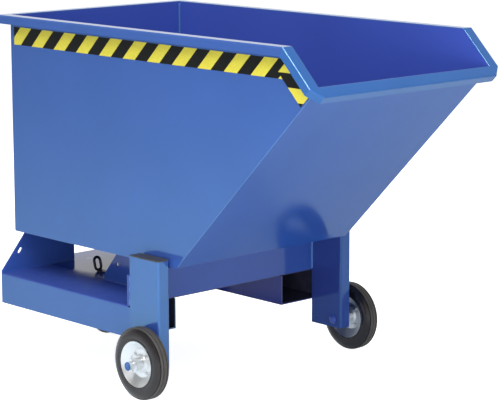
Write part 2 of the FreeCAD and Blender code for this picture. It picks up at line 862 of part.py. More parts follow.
# Lock
def lock_point(x):
    return Vector(x, lock_y, deck_top + lock_rise)


def lock_guide(back):
    side = (lock_y - lock_guide_width / 2, lock_y + lock_guide_width / 2)
    guide = block((back, back + lock_guide_length), side, (deck_top, deck_top + lock_guide_height))
    return guide.cut(rod(lock_rod + 2 * fit, lock_point(back), lock_point(back + lock_guide_length)))


def lock_bolt():
    """A round bolt with a stop collar, cranked down at its rear end to a flat bar just over the deck."""
    bolt = rod(lock_rod, lock_point(crank_back), lock_point(lock_tip))
    collar_back = rear_guide_back + lock_guide_length + rest_gap
    collar = rod(lock_collar, lock_point(collar_back), lock_point(collar_back + lock_collar_length))
    side = (lock_y - lock_bar_width / 2, lock_y + lock_bar_width / 2)
    bar_top = lock_bar_bottom + lock_bar_thickness
    crank_top = deck_top + lock_rise + lock_bar_width / 2
    crank = block((crank_back, crank_back + lock_crank), side, (lock_bar_bottom, crank_top))
    bar = block((lock_back, crank_back), side, (lock_bar_bottom, bar_top))
    return bolt.fuse([collar, crank, bar]).removeSplitter()


def pull_loop():
    """An upright loop of round rod on the end of the lock's bar, leaning back."""
    radius = (loop_width - loop_rod) / 2
    top = Part.makeTorus(radius, loop_rod / 2, Vector(0, 0, loop_straight), X_AXIS)
    low = Part.makeTorus(radius, loop_rod / 2, Vector(0, 0, 0), X_AXIS)
    wide = (-loop_width, loop_width)
    loop = top.common(block(wide, wide, (loop_straight, loop_straight + loop_width)))
    loop = loop.fuse(low.common(block(wide, wide, (-loop_width, 0))))
    for y in (-radius, radius):
        loop = loop.fuse(rod(loop_rod, Vector(0, y, 0), Vector(0, y, loop_straight)))
    loop = moved(loop.removeSplitter(), 0, 0, radius)
    loop.rotate(Vector(0, 0, 0), Y_AXIS, -loop_lean)
    return moved(loop, lock_back, lock_y, lock_bar_bottom + loop_rod / 2).cut(lock_bolt())


# Places that follow from the pieces above
split_pin_y = wheel_y + hub_length / 2 + wheel_side_play + washer_thickness + split_pin / 2 + fit
axle_end = split_pin_y + axle_tail
crown_bottom = wheel_diameter + caster_crown_clearance
race_middle = (crown_bottom + caster_crown_thickness + deck_underside - caster_plate_thickness) / 2
race_split = race_middle - caster_race_gap / 2
rear_guide_back = web_back + lock_inside_web
front_guide_back = rear_guide_back + lock_guide_length + lock_travel + lock_collar_length + 2 * rest_gap
crank_back = rear_guide_back - lock_travel - lock_crank - lock_tip_clearance
lock_back = crank_back - lock_bar_length
lock_bar_bottom = deck_top + lock_bar_gap
lock_tip = front_guide_back + lock_guide_length + lock_tip_clearance
striker_back = lock_tip + lock_tip_free


def main():
    os.makedirs("parts", exist_ok=True)

    save("skip_sheet", skip_sheet())
    save_sides("skip_side", skip_side())
    save("rim_top", rim_top_frame())
    save("rim_spout", rim_spout_frame())
    save_sides("pivot_lug", pivot_lug())
    save_pair("pivot_bushes", pivot_bush())
    save("striker_plate", striker_plate())

    save_sides("pocket_channel", pocket_channel())
    save("deck_plate", deck_plate())
    save("rear_bulkhead", bulkhead())
    save_sides("web", web())
    save_pair("web_pads", web_pad())
    save_pair("bulkhead_pads", bulkhead_pad())
    save("cross_bar", cross_bar())
    save_sides("leg", leg())
    save_sides("leg_cap", leg_cap())
    save_pair("pivot_bosses", pivot_boss())
    save_pair("pivot_bolts", pivot_bolt())

    save_sides("axle_bolt", axle_bolt())
    hub_face = wheel_y + hub_length / 2 + wheel_side_play
    save_pair("axle_washers", axle_washer(hub_face, washer_thickness))
    save_pair("axle_spacers", axle_washer(leg_outer, wheel_spacer))
    save_pair("split_pins", split_pin_shape())
    save_wheel("left_wheel", 0, wheel_y, 1, bearing_bore)
    save_wheel("right_wheel", 0, -wheel_y, -1, bearing_bore)

    save("caster_screws", *[screw_body(x, y, 0) for x, y in caster_holes()])
    save("caster_nuts", *[caster_nut(x, y) for x, y in caster_holes()])
    save("caster_top_plate", caster_top_plate())
    save("caster_kingpin", caster_kingpin_shape())
    save("caster_fork", caster_fork())
    save("caster_axle_bolt", *caster_axle_pieces())
    save_wheel("caster_wheel", caster_x, 0, 1, caster_sleeve_bore())

    save("lock_guides", lock_guide(rear_guide_back), lock_guide(front_guide_back))
    save("lock_bolt", lock_bolt())
    save("pull_loop", pull_loop())


main()
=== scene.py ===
import json
import math

import bmesh
import bpy
from mathutils import Matrix, Vector


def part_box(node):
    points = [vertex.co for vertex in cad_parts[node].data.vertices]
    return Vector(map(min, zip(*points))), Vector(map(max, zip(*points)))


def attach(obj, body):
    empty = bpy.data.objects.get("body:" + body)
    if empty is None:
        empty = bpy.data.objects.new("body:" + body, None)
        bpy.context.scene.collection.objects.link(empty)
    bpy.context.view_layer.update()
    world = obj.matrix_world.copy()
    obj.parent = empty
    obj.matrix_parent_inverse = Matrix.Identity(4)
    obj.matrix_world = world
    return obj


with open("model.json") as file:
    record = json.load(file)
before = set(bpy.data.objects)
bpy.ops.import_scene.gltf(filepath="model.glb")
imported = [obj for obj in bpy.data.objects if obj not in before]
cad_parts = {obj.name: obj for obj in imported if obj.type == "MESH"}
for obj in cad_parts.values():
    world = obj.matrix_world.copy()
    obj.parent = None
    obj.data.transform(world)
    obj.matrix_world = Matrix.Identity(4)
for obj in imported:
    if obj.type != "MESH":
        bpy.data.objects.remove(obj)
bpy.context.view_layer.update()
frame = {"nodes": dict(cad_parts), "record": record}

nodes = frame["nodes"]

# The drawing frame is in millimetres, with X = 0 at the front axle, as in the part's source. The row frame is
# in metres, with the front axle at this X.
axle_x = (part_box("left_wheel_tyre")[0].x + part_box("left_wheel_tyre")[1].x) / 2
side_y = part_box("skip_side_left")[1].y


def row(x, y, z):
    """A point given in millimetres in the drawing frame, as metres in the row frame."""
    return Vector((x / 1000 + axle_x, y / 1000, z / 1000))


def placed(name, data):
    """A new object in the scene."""
    thing = bpy.data.objects.new(name, data)
    bpy.context.scene.collection.objects.link(thing)
    return thing


def mesh_object(name, mesh, *materials):
    """A new object made from a bmesh, which is freed."""
    data = bpy.data.meshes.new(name)
    mesh.to_mesh(data)
    mesh.free()
    for material in materials:
        data.materials.append(material)
    return placed(name, data)


# Shader nodes


def empty_tree(owner):
    """The node tree of a material or a world, with nothing in it."""
    owner.use_nodes = True
    owner.node_tree.nodes.clear()
    return owner.node_tree


def new_material(name):
    material = bpy.data.materials.new(name)
    tree = empty_tree(material)
    output = tree.nodes.new("ShaderNodeOutputMaterial")
    shader = tree.nodes.new("ShaderNodeBsdfPrincipled")
    tree.links.new(shader.outputs["BSDF"], output.inputs["Surface"])
    return material, tree, shader


def add(tree, kind, **values):
    """A node with its inputs, given by name or by number as input_0, and its settings, as set_operation."""
    node = tree.nodes.new(kind)
    for key, value in values.items():
        if key.startswith("set_"):
            setattr(node, key[4:], value)
            continue
        slot = node.inputs[int(key[6:])] if key.startswith("input_") else node.inputs[key]
        if isinstance(value, bpy.types.NodeSocket):
            tree.links.new(value, slot)
        else:
            slot.default_value = value
    return node


def link(tree, output, shader, name):
    tree.links.new(output, shader.inputs[name])


def constants(shader, values):
    for name, value in values.items():
        shader.inputs[name].default_value = value


def object_coords(tree, shift=(0, 0, 0), scale=(1, 1, 1)):
    coords = add(tree, "ShaderNodeTexCoord").outputs["Object"]
    return add(tree, "ShaderNodeMapping", Vector=coords, Location=shift, Scale=scale).outputs["Vector"]


def axes(tree, vector):
    """The outputs X, Y and Z of a vector."""
    return add(tree, "ShaderNodeSeparateXYZ", Vector=vector).outputs


def dot(tree, vector, direction):
    node = add(tree, "ShaderNodeVectorMath", set_operation="DOT_PRODUCT", input_0=vector, input_1=direction)
    return node.outputs["Value"]


def math_node(tree, operation, a, b=0.0):
    return add(tree, "ShaderNodeMath", set_operation=operation, input_0=a, input_1=b).outputs[0]


def between(tree, value, low, high):
    """1 where a value lies between two limits, else 0."""
    above = math_node(tree, "GREATER_THAN", value, low)
    return math_node(tree, "MULTIPLY", above, math_node(tree, "LESS_THAN", value, high))


def noise(tree, coords, scale, detail=3.0, roughness=0.5):
    """Soft noise between 0 and 1, with the scale in features per metre."""
    node = add(tree, "ShaderNodeTexNoise", Vector=coords, Scale=scale, Detail=detail, Roughness=roughness)
    return node.outputs["Fac"]


def ramp(tree, factor, stops):
    """A colour ramp between two (place, colour) stops. A single number stands for a grey."""
    node = add(tree, "ShaderNodeValToRGB", Fac=factor)
    for element, (place, colour) in zip(node.color_ramp.elements, stops):
        element.position = place
        element.color = (colour, colour, colour, 1) if isinstance(colour, float) else (*colour, 1)
    return node.outputs["Color"]


def spread(tree, factor, low, high, start=0.3, end=0.7):
    """Noise spread from one tone or number to another, over the part of its range that it mostly has."""
    return ramp(tree, factor, [(start, low), (end, high)])


def mixed(tree, factor, a, b):
    """Colour a where the factor is 0, and b where it is 1."""
    node = add(tree, "ShaderNodeMix", set_data_type="RGBA", input_0=factor)
    tree.links.new(a, node.inputs[6])
    tree.links.new(b, node.inputs[7])
    return node.outputs[2]


def bump(tree, height, strength, distance, normal=None):
    node = add(tree, "ShaderNodeBump", Height=height, Strength=strength, Distance=distance)
    if normal:
        tree.links.new(normal, node.inputs["Normal"])
    return node.outputs["Normal"]


# Materials

paint_ior = 1.6
plastic_ior = 1.5
tyre_ior = 1.6

# How much a face's look to the middle counts per metre that it lies from there, and where it takes the
# painted shade tone
middle_pull = 3.0
shade_from, shade_to = 0.05, 0.2

# Scuffed paint: its roughness, and the distance in metres over which it fades in
scuffed_roughness = 0.50, 0.62
scuff_fade = 0.06

# The spangle's share in the tone of plated steel
spangle_weight = 0.2


def painted(name, tones, inner=None, shade_direction=(0, 0, 0), dark_box=None, low=0.08, high=0.14, gloss=1.0,
            tint=(0.45, 1.0, 1.0), scuffed=None):
    """Sprayed gloss paint on sheet steel, with a faint drift of tone and orange peel.

    Inner tones are painted shade: a separate tone of the same paint for the faces that look to the middle
    of the trolley or along the shade direction. A dark box, as
    ((low x, high x), (low |y|, high |y|), (low z, high z)), is painted near-black. Beyond the distance
    scuffed from the middle the paint is dull. The roughness runs from low to high.
    """
    material, tree, shader = new_material(name)
    coords = object_coords(tree)
    place = axes(tree, coords)
    drift = noise(tree, coords, scale=4.0, detail=4.0, roughness=0.55)
    colour = spread(tree, drift, *tones)
    # Painted shade: the faces that look to the middle, or along the shade direction, take the inner tones.
    if inner:
        normal = add(tree, "ShaderNodeTexCoord").outputs["Normal"]
        outward = math_node(tree, "MULTIPLY", place["Y"], axes(tree, normal)["Y"])
        toward_middle = math_node(tree, "MULTIPLY", outward, -middle_pull)
        facing = math_node(tree, "ADD", toward_middle, dot(tree, normal, shade_direction))
        shade_share = ramp(tree, facing, [(shade_from, 0.0), (shade_to, 1.0)])
        colour = mixed(tree, shade_share, colour, spread(tree, drift, *inner))
    if dark_box:
        inside_x = between(tree, place["X"], *dark_box[0])
        inside_y = between(tree, math_node(tree, "ABSOLUTE", place["Y"]), *dark_box[1])
        inside_z = between(tree, place["Z"], *dark_box[2])
        dark_mask = math_node(tree, "MULTIPLY", math_node(tree, "MULTIPLY", inside_x, inside_y), inside_z)
        steel = spread(tree, noise(tree, coords, scale=30.0), *dark_box_tone)
        colour = mixed(tree, dark_mask, colour, steel)
    link(tree, colour, shader, "Base Color")
    haze = noise(tree, coords, scale=26.0, detail=5.0, roughness=0.6)
    roughness = spread(tree, haze, low, high, end=0.75)
    if scuffed:
        beyond = math_node(tree, "SUBTRACT", math_node(tree, "ABSOLUTE", place["Y"]), scuffed)
        dull = ramp(tree, math_node(tree, "DIVIDE", beyond, scuff_fade), [(0.0, 0.0), (1.0, 1.0)])
        roughness = mixed(tree, dull, roughness, spread(tree, haze, *scuffed_roughness, end=0.75))
    link(tree, roughness, shader, "Roughness")
    waves = bump(tree, noise(tree, coords, scale=9.0, detail=1.0), strength=0.05, distance=0.004)
    peel = noise(tree, coords, scale=420.0, detail=2.0)
    link(tree, bump(tree, peel, strength=0.06, distance=0.0004, normal=waves), shader, "Normal")
    constants(shader, {"IOR": paint_ior, "Specular IOR Level": gloss, "Specular Tint": (*tint, 1)})
    return material


def metal(name, dark, light, low, high, cell):
    """Plated steel: a fine spangle in the tone and a cloudy gloss, with the roughness from low to high."""
    material, tree, shader = new_material(name)
    coords = object_coords(tree)
    spangle = add(tree, "ShaderNodeTexVoronoi", Vector=coords, Scale=cell).outputs["Color"]
    cloud = noise(tree, coords, scale=24.0)
    spangled = math_node(tree, "MULTIPLY", spangle, spangle_weight)
    clouded = math_node(tree, "MULTIPLY", cloud, 1 - spangle_weight)
    grain = math_node(tree, "ADD", spangled, clouded)
    link(tree, spread(tree, grain, dark, light, start=0.25), shader, "Base Color")
    link(tree, spread(tree, cloud, low, high), shader, "Roughness")
    fine = noise(tree, coords, scale=700.0, detail=2.0)
    link(tree, bump(tree, fine, strength=0.02, distance=0.0002), shader, "Normal")
    constants(shader, {"Metallic": 1.0})
    return material


def rubber(name, dark, light, low, high, grain):
    """Moulded rubber or plastic with a fine grain and dusty patches, and the roughness from low to high."""
    material, tree, shader = new_material(name)
    coords = object_coords(tree)
    patches = noise(tree, coords, scale=18.0, detail=6.0, roughness=0.6)
    link(tree, spread(tree, patches, dark, light, end=0.72), shader, "Base Color")
    link(tree, spread(tree, noise(tree, coords, scale=45.0, detail=4.0), low, high), shader, "Roughness")
    relief = noise(tree, coords, scale=grain)
    link(tree, bump(tree, relief, strength=0.18, distance=0.0004), shader, "Normal")
    constants(shader, {"IOR": plastic_ior})
    return material


def part_painted(name, plated, low, high):
    """Plated steel, painted where the distance from the middle of the trolley is outside two limits: in a
    deeper tone between the legs as painted shade, and a paler one at the outer end as painted light.
    """
    material, tree, shader = new_material(name)
    coords = object_coords(tree)
    side = math_node(tree, "ABSOLUTE", axes(tree, coords)["Y"])
    bright = between(tree, side, low, high)
    cloud = noise(tree, coords, scale=60.0, detail=5.0, roughness=0.6)
    steel = spread(tree, cloud, *plated, start=0.25)
    outer_end = math_node(tree, "GREATER_THAN", side, high)
    paint = mixed(tree, outer_end, spread(tree, cloud, *shade_deep_blue), spread(tree, cloud, *lit_pale_blue))
    link(tree, mixed(tree, bright, paint, steel), shader, "Base Color")
    link(tree, bright, shader, "Metallic")
    link(tree, spread(tree, cloud, 0.20, 0.30), shader, "Roughness")
    link(tree, bump(tree, cloud, strength=0.04, distance=0.0005), shader, "Normal")
    return material


# Where the tyre's running surface begins, as a share of its radius, and the roughness of sides and tread
tread_from, tread_to = 0.965, 0.985
side_roughness = 0.18, 0.28
tread_roughness = 0.55, 0.70


def sheened_tyre(node):
    """Black rubber with a soft shine on its sides; dull and paler on the running surface, as dust and a
    painted sheen.
    """
    material, tree, shader = new_material(node + "_rubber")
    low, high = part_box(node)
    middle = (low + high) / 2
    radius = (high.z - low.z) / 2
    coords = object_coords(tree)
    from_axle = object_coords(tree, (-middle.x / radius, 0, -middle.z / radius), (1 / radius, 0, 1 / radius))
    reach = add(tree, "ShaderNodeVectorMath", set_operation="LENGTH", input_0=from_axle).outputs["Value"]
    tread_share = ramp(tree, reach, [(tread_from, 0.0), (tread_to, 1.0)])
    patches = noise(tree, coords, scale=30.0, detail=6.0, roughness=0.6)
    sides = spread(tree, patches, *tyre_black, end=0.72)
    tread = spread(tree, patches, *tread_dust_and_sheen, end=0.72)
    link(tree, mixed(tree, tread_share, sides, tread), shader, "Base Color")
    shine = spread(tree, noise(tree, coords, scale=45.0, detail=4.0), *side_roughness)
    dull = spread(tree, patches, *tread_roughness)
    link(tree, mixed(tree, tread_share, shine, dull), shader, "Roughness")
    relief = noise(tree, coords, scale=900.0)
    link(tree, bump(tree, relief, strength=0.03, distance=0.0004), shader, "Normal")
    constants(shader, {"IOR": tyre_ior, "Specular Tint": (1.0, 0.90, 0.88, 1)})
    return material


# Tones, each as the two ends of its drift
blue = (0.036, 0.084, 0.340), (0.040, 0.092, 0.370)
# A deeper tone of the same paint on the axle heads between the legs, as painted shade
shade_deep_blue = (0.042, 0.084, 0.365), (0.046, 0.092, 0.395)
# A paler tone of the same paint on the spout rim and the axle ends, as painted light
lit_pale_blue = (0.029, 0.112, 0.355), (0.033, 0.122, 0.385)
# A darker tone of the same paint for the deck under the skip, as painted shade
deck_shade_blue = (0.034, 0.070, 0.315), (0.038, 0.077, 0.340)
bar_blue = (0.033, 0.082, 0.345), (0.037, 0.090, 0.372)
# A deeper tone of the same paint for the front sheet, as painted shade
sheet_shade_blue = (0.021, 0.074, 0.340), (0.025, 0.081, 0.368)
# A separate tone of the same paint for the skip's inner faces, as painted shade
inner_shade_blue = (0.052, 0.091, 0.428), (0.057, 0.099, 0.458)
# A darker tone of the same paint for the legs' faces in shade, as painted shade
leg_shade_blue = (0.028, 0.052, 0.250), (0.032, 0.058, 0.275)
shaded_blue = (0.014, 0.024, 0.190), (0.017, 0.029, 0.210)
# A paler tone of the paint for the weld beads, as a painted highlight
weld_highlight_blue = (0.060, 0.165, 0.430), (0.075, 0.190, 0.480)
blackened = (0.010, 0.011, 0.022), (0.017, 0.019, 0.036)
# Near-black for the dark boxes: painted shade inside the pockets, and the deck's front edge
dark_box_tone = (0.030, 0.031, 0.058), (0.044, 0.046, 0.082)
bright_zinc = (0.81, 0.83, 0.84), (0.89, 0.90, 0.91)
axle_zinc = (0.70, 0.73, 0.75), (0.80, 0.82, 0.83)
ground_steel = (0.50, 0.50, 0.51), (0.68, 0.68, 0.68)
bush_bronze = (0.42, 0.25, 0.10), (0.62, 0.40, 0.18)
cap_grey = (0.030, 0.031, 0.033), (0.060, 0.061, 0.064)
pad_black = (0.012, 0.012, 0.013), (0.026, 0.026, 0.027)
tyre_black = (0.006, 0.006, 0.008), (0.011, 0.011, 0.013)
# The tread's paler tone: dust, and a painted sheen of light off the running surface
tread_dust_and_sheen = (0.050, 0.047, 0.043), (0.084, 0.079, 0.073)

# Colours of the paint's mirror image, where it isn't the usual one
white = (1.0, 1.0, 1.0)
strong_cyan = (0.28, 1.0, 1.0)
faint_cyan = (0.65, 1.0, 1.0)

# Directions along which faces take the painted shade tone: the inner faces of the skip, and in part the front
# faces of the legs
skip_inward = (0.6, 0.0, 1.0)
leg_shade_direction = (0.11, 0.0, 0.0)

# Boxes painted near-black, in metres in the row frame: the pockets inside their walls, as painted shade, and
# the deck's front edge
far_off = 10
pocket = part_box("pocket_channel_left")
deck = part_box("deck_plate")
pocket_skin = 0.002
pocket_inside = (
    (-far_off, far_off),
    (pocket[0].y + pocket_skin, pocket[1].y - pocket_skin),
    (pocket[0].z + pocket_skin, far_off),
)
deck_front_edge = ((deck[1].x - 0.001, far_off), (-far_off, far_off), (-far_off, deck[1].z - 0.0002))
deck_scuffed_from = 0.17

blue_paint = painted("blue_paint", blue, gloss=0.8)
# The skip's inner faces take their own tone, as painted shade.
skip_paint = painted("skip_paint", blue, inner_shade_blue, skip_inward, gloss=0.8)
sheet_paint = painted("sheet_paint", sheet_shade_blue, inner_shade_blue, skip_inward, gloss=0.35, tint=strong_cyan)
# The legs' faces toward the middle and, in part, their fronts take a darker tone, as painted shade.
leg_paint = painted("leg_paint", blue, leg_shade_blue, leg_shade_direction)
far_leg_paint = painted("far_leg_paint", blue, leg_shade_blue, leg_shade_direction, gloss=0.4)
# The pockets take the shaded tone on their faces toward the middle and near-black inside, as painted shade.
pocket_paint = painted("pocket_paint", blue, shaded_blue, dark_box=pocket_inside, gloss=0.7)
far_pocket_paint = painted("far_pocket_paint", blue, shaded_blue, dark_box=pocket_inside, gloss=0.2, tint=white)
deck_paint = painted("deck_paint", deck_shade_blue, dark_box=deck_front_edge, gloss=0.2, tint=white,
                     scuffed=deck_scuffed_from)
bar_paint = painted("bar_paint", bar_blue, gloss=0.3, tint=white)
# The spout rim takes the paler tone of the paint, as painted light.
spout_paint = painted("spout_paint", lit_pale_blue, low=0.04, high=0.08, gloss=0.4, tint=faint_cyan)
bead_highlight_paint = painted("bead_highlight_paint", weld_highlight_blue, gloss=0.3, tint=white)
dark_steel = painted("dark_steel", blackened, low=0.22, high=0.34, gloss=0.3, tint=white)
zinc = metal("zinc_plate", *bright_zinc, low=0.36, high=0.46, cell=420.0)
bearing_steel = metal("bearing_steel", *ground_steel, low=0.18, high=0.30, cell=300.0)
bronze = metal("bronze", *bush_bronze, low=0.25, high=0.40, cell=260.0)
cap_plastic = rubber("cap_plastic", *cap_grey, low=0.42, high=0.60, grain=700.0)
pad_rubber = rubber("pad_rubber", *pad_black, low=0.55, high=0.75, grain=900.0)

# The axle bolts are painted between the legs and on their outer end faces.
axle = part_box("axle_bolt_left")
axle_finish = part_painted("axle_finish", axle_zinc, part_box("leg_left")[0].y, axle[1].y - 0.001)

slot_material = {
    "blue_paint": blue_paint,
    "dark_steel": dark_steel,
    "zinc_plate": zinc,
    "bearing_steel": bearing_steel,
    "bronze": bronze,
    "cap_plastic": cap_plastic,
    "pad_rubber": pad_rubber,
}
node_material = {
    "skip_sheet": sheet_paint,
    "skip_side_left": skip_paint,
    "skip_side_right": skip_paint,
    "leg_left": far_leg_paint,
    "leg_right": leg_paint,
    "pocket_channel_left": far_pocket_paint,
    "pocket_channel_right": pocket_paint,
    "deck_plate": deck_paint,
    "cross_bar": bar_paint,
    "rear_bulkhead": bar_paint,
    "web_left": bar_paint,
    "web_right": bar_paint,
    "rim_spout": spout_paint,
    "axle_bolt_left": axle_finish,
    "axle_bolt_right": axle_finish,
}
# The rivets take the darker ground steel against the bright disc, as painted shade that lets them read as
# dots.
for wheel in ("left_wheel", "right_wheel", "caster_wheel"):
    node_material[wheel + "_tyre"] = sheened_tyre(wheel + "_tyre")
    node_material[wheel + "_rivets"] = bearing_steel
for part in frame["record"]["subparts"]:
    part_mesh = nodes[part["node"]].data
    part_mesh.materials.clear()
    part_mesh.materials.append(node_material.get(part["node"]) or slot_material[part["material_slot"]])


# Hazard tape on both sides of the skip, in drawing millimetres

tape_thickness = 0.4
tape_sink = 0.1
tape_stripe = 51.16
tape_back = -654.0
tape_top, tape_bottom = 961.5, 910.5
tape_front_top, tape_front_bottom = 478.5, 529.5
tape_first_stripe = -622.7

# The short strip along the spout's slope: its edges are lines of one X + Z, and its ends lines of one X - Z.
slant_edges = 1378.0, 1449.0
slant_ends = -476.0, -313.0
slant_first_stripe = 927.5


def tape_material(name, dark, light, gloss):
    """Reflective film: a fine net of cells under a clear face."""
    material, tree, shader = new_material(name)
    coords = object_coords(tree)
    cells = add(tree, "ShaderNodeTexVoronoi", Vector=coords, Scale=420.0).outputs["Distance"]
    link(tree, spread(tree, cells, light, dark, start=0.1, end=0.75), shader, "Base Color")
    link(tree, spread(tree, noise(tree, coords, scale=60.0), 0.30, 0.42), shader, "Roughness")
    link(tree, bump(tree, cells, strength=0.1, distance=0.0003), shader, "Normal")
    constants(shader, {"Specular IOR Level": gloss})
    return material


tape_yellow = tape_material("tape_yellow", (0.66, 0.59, 0.050), (0.80, 0.72, 0.085), gloss=0.4)
tape_black = tape_material("tape_black", (0.006, 0.007, 0.006), (0.012, 0.013, 0.012), gloss=0.12)


def clipped(polygon, normal, offset):
    """The part of a polygon where point . normal >= offset."""
    result = []
    for i, here in enumerate(polygon):
        before = polygon[i - 1]
        h, b = here.dot(normal) - offset, before.dot(normal) - offset
        if (h >= 0) != (b >= 0):
            result.append(before.lerp(here, b / (b - h)))
        if h >= 0:
            result.append(here)
    return result


def tape_strip(mesh, outline, across, first, start_black, layer, side):
    """One strip: its outline in (X, Z) is cut into stripes along the direction across, counted from first.

    A strip on a higher layer lies on the one below it.
    """
    low = min(point.dot(across) for point in outline)
    high = max(point.dot(across) for point in outline)
    step = tape_stripe / math.sqrt(2)
    face_y = side * (side_y * 1000 + (layer + 1) * tape_thickness)
    foot_y = side * (side_y * 1000 + layer * tape_thickness - tape_sink)
    k = math.floor((low - first) / step)
    while first + k * step < high:
        cell = clipped(outline, across, first + k * step)
        cell = clipped(cell, -across, -(first + (k + 1) * step)) if cell else cell
        black = (k % 2 == 0) == start_black
        k += 1
        if len(cell) < 3:
            continue
        face = [mesh.verts.new(row(p.x, face_y, p.y)) for p in cell]
        foot = [mesh.verts.new(row(p.x, foot_y, p.y)) for p in cell]
        made = [mesh.faces.new(face), mesh.faces.new(list(reversed(foot)))]
        for i in range(len(cell)):
            made.append(mesh.faces.new([face[i - 1], foot[i - 1], foot[i], face[i]]))
        for f in made:
            f.material_index = 1 if black else 0


def hazard_tape(side, name):
    """The tape on one side of the skip: a long level strip and a short one down the slope of the spout."""
    mesh = bmesh.new()
    level = [
        Vector((tape_back, tape_bottom)),
        Vector((tape_front_bottom, tape_bottom)),
        Vector((tape_front_top, tape_top)),
        Vector((tape_back, tape_top)),
    ]
    lean = Vector((1, -1)).normalized()
    tape_strip(mesh, level, lean, Vector((tape_first_stripe, tape_top)).dot(lean), False, 0, side)
    (inner, outer), (start, end) = slant_edges, slant_ends
    corners = (inner, start), (inner, end), (outer, end), (outer, start)
    slant = [Vector(((total + apart) / 2, (total - apart) / 2)) for total, apart in corners]
    tape_strip(mesh, slant, Vector((0, -1)), -slant_first_stripe, True, 1, side)
    bmesh.ops.recalc_face_normals(mesh, faces=mesh.faces)
    tape = mesh_object(name, mesh, tape_yellow, tape_black)
    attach(tape, "skip")


hazard_tape(-1, "hazard_tape_right")
hazard_tape(1, "hazard_tape_left")


# Weld beads along the seams that show. Those not on the deck take a paler tone than the paint, as a painted
# highlight along the seams.

# Ring spacing and ripple pitch in metres, then sides, ripple height and the width left at the ends, squared
bead_step = 0.0014
bead_pitch = 0.0055
bead_sides = 8
bead_ripple = 0.13
bead_end = 0.04


def bead(mesh, start, end, radius):
    """A rippled round bead between two points in drawing millimetres, with rounded ends."""
    start, end, radius = row(*start), row(*end), radius / 1000
    along = (end - start).normalized()
    length = (end - start).length
    side = along.orthogonal().normalized()
    other = along.cross(side)
    count = max(4, round(length / bead_step))
    turns = [2 * math.pi * k / bead_sides for k in range(bead_sides)]
    rings = []
    for i in range(count + 1):
        travel = length * i / count
        to_end = min(travel, length - travel) / radius
        end_share = math.sqrt(max(bead_end, 1 - max(0.0, 1 - to_end) ** 2))
        size = radius * end_share * (1 + bead_ripple * math.sin(2 * math.pi * travel / bead_pitch))
        middle = start + along * travel
        ring = [middle + (side * math.cos(t) + other * math.sin(t)) * size for t in turns]
        rings.append([mesh.verts.new(point) for point in ring])
    for before, after in zip(rings, rings[1:]):
        for k in range(bead_sides):
            face = mesh.faces.new([before[k - 1], before[k], after[k], after[k - 1]])
            face.smooth = True
    mesh.faces.new(list(reversed(rings[0])))
    mesh.faces.new(rings[-1])


def weld_seams(name, body, seams, paint):
    """One piece of all the beads on a body. Each seam is made on both sides of the trolley, if it has two."""
    mesh = bmesh.new()
    for start, end, radius, sides in seams:
        for side in sides:
            bead(mesh, (start[0], side * start[1], start[2]), (end[0], side * end[1], end[2]), radius)
    bmesh.ops.recalc_face_normals(mesh, faces=mesh.faces)
    seam = mesh_object(name, mesh, paint)
    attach(seam, body)


on_both = (-1, 1)
on_right = (-1,)

# Radii of the beads, and the planes that the seams lie in, in drawing millimetres
corner_bead, edge_bead, leg_bead, plate_bead, guide_bead = 3.6, 1.2, 3.8, 2.6, 2.2
seam_y, seam_back, seam_floor = 319.7, -665.7, 363.3
outside_y = 323.6
underside = 359
lug_y, lug_back, lug_front = 296, -95, -25
striker_back, striker_front = -306.4, -298.4
leg_back, leg_inner_y = -88, 330
leg_edge_x, leg_edge_y = -88.5, 369.4
deck_top = 238
bulkhead_front, bar_back = -675, -100
web_inner_y, web_outer_y = 205, 209

weld_seams("welds_inside_skip", "skip", [
    ((seam_back, seam_y, 366), (seam_back, seam_y, 990), corner_bead, on_both),
    ((-662, seam_y, seam_floor), (48, seam_y, seam_floor), corner_bead, on_both),
    ((52, seam_y, 365), (584, seam_y, 897), corner_bead, on_both),
], bead_highlight_paint)
weld_seams("welds_outside_skip", "skip", [
    ((60, outside_y, 365.6), (586, outside_y, 891.6), edge_bead, on_both),
], bead_highlight_paint)
weld_seams("welds_under_skip", "skip", [
    ((-94, lug_y, underside), (-26, lug_y, underside), plate_bead, on_both),
    ((lug_back, 297, underside), (lug_back, 307, underside), plate_bead, on_both),
    ((lug_front, 297, underside), (lug_front, 307, underside), plate_bead, on_both),
    ((striker_back, 130, underside), (striker_back, 170, underside), plate_bead, on_right),
    ((striker_front, 130, underside), (striker_front, 170, underside), plate_bead, on_right),
], bead_highlight_paint)
weld_seams("welds_frame", "chassis", [
    ((leg_back, leg_inner_y, 240), (leg_back, leg_inner_y, 323), leg_bead, on_both),
    ((leg_edge_x, leg_edge_y, 242), (leg_edge_x, leg_edge_y, 264), plate_bead, on_both),
    ((leg_edge_x, leg_edge_y, 276), (leg_edge_x, leg_edge_y, 292), plate_bead, on_both),
    ((leg_edge_x, leg_edge_y, 304), (leg_edge_x, leg_edge_y, 322), plate_bead, on_both),
], bead_highlight_paint)
guide_seams = [
    ((x, y, deck_top), (x + 10, y, deck_top), guide_bead, on_right) for x in (-381, -331) for y in (165, 135)
]
weld_seams("welds_deck", "chassis", [
    ((bulkhead_front, 104, deck_top), (bulkhead_front, 364, deck_top), plate_bead, on_both),
    ((-396, web_inner_y, deck_top), (-102, web_inner_y, deck_top), plate_bead, on_both),
    ((-396, web_outer_y, deck_top), (-102, web_outer_y, deck_top), plate_bead, on_both),
    ((bar_back, web_outer_y, 241), (bar_back, web_outer_y, 314), plate_bead, on_both),
    ((bar_back, web_inner_y, 241), (bar_back, web_inner_y, 314), plate_bead, on_both),
    ((bar_back, 212, deck_top), (bar_back, 364, deck_top), plate_bead, on_both),
    *guide_seams,
], bar_paint)


# Camera at the photograph's view, fitted to it: millimetres, radians, and a place in the drawing frame

sensor_width = 36.0
lens = 150.91
yaw, pitch, roll = 0.82186, 0.18199, -0.00165
camera_place = 4237.27, -3941.21, 1563.91


